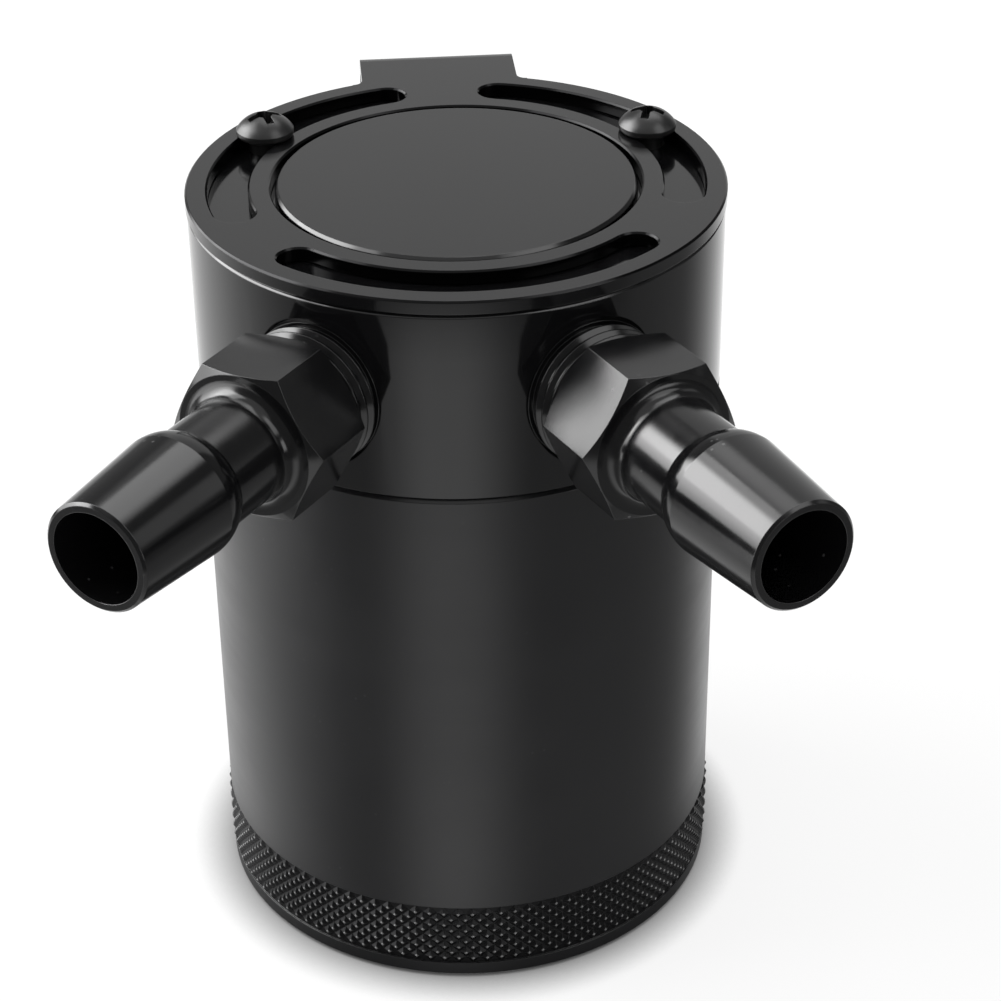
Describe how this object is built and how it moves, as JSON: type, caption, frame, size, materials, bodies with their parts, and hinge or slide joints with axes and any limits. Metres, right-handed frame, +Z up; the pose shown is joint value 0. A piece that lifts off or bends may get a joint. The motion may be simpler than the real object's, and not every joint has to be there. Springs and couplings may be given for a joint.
{
  "type": "oil catch can",
  "caption": "Compact cylindrical crankcase oil separator can with a screwed knurled reservoir, a ported head with hose barbs, an inner filter and baffle, and a slotted swivel bracket.",
  "frame": {"origin": "centre of the reservoir's flat base, on the can's axis", "axes": "+Z up along the can's axis, +Y out of the bracket's leg towards the panel it is bolted to; the hose barbs point away from it, towards -Y"},
  "size_m": [0.0811, 0.1082, 0.0978],
  "materials": {
    "satin_anodised": "satin black anodised",
    "gloss_anodised": "gloss black anodised",
    "fitting_anodised": "gloss black anodised, turned",
    "bracket_coat": "smooth black coat",
    "screw_black": "black oxide",
    "seal_rubber": "smooth",
    "brass": "turned",
    "sintered_bronze": "sintered, porous",
    "mill_aluminium": "mill finish",
    "zinc_steel": "zinc plated"
  },
  "bodies": {
    "reservoir": {"reservoir": "satin_anodised"},
    "seal": {"head_oring": "seal_rubber"},
    "head": {"head": "gloss_anodised", "bracket_screw_left": "screw_black", "bracket_screw_right": "screw_black", "inlet_fitting": "fitting_anodised", "outlet_fitting": "fitting_anodised", "filter_bush": "brass", "filter_element": "sintered_bronze", "baffle_plate": "mill_aluminium", "baffle_standoff_1": "mill_aluminium", "baffle_standoff_2": "mill_aluminium", "baffle_standoff_3": "mill_aluminium", "baffle_screw_1": "zinc_steel", "baffle_screw_2": "zinc_steel", "baffle_screw_3": "zinc_steel"},
    "bracket": {"bracket": "bracket_coat"}
  },
  "joints": [
    {"name": "seal_lift", "type": "slide", "parent": "reservoir", "child": "seal", "axis": [0, 0, 1], "range_m": [0, 0.0075]},
    {"name": "head_screw", "type": "hinge", "parent": "seal", "child": "head", "pos_m": [0, 0, 0.07], "axis": [0, 0, 1], "range_deg": [0, 1800]},
    {"name": "bracket_swivel", "type": "hinge", "parent": "head", "child": "bracket", "pos_m": [0, 0, 0.0933], "axis": [0, 0, 1], "range_deg": [-49, 40.8]}
  ],
  "couplings": [
    {"joint": "seal_lift", "follows": "head_screw", "m_per_rad": 0.00023873}
  ]
}
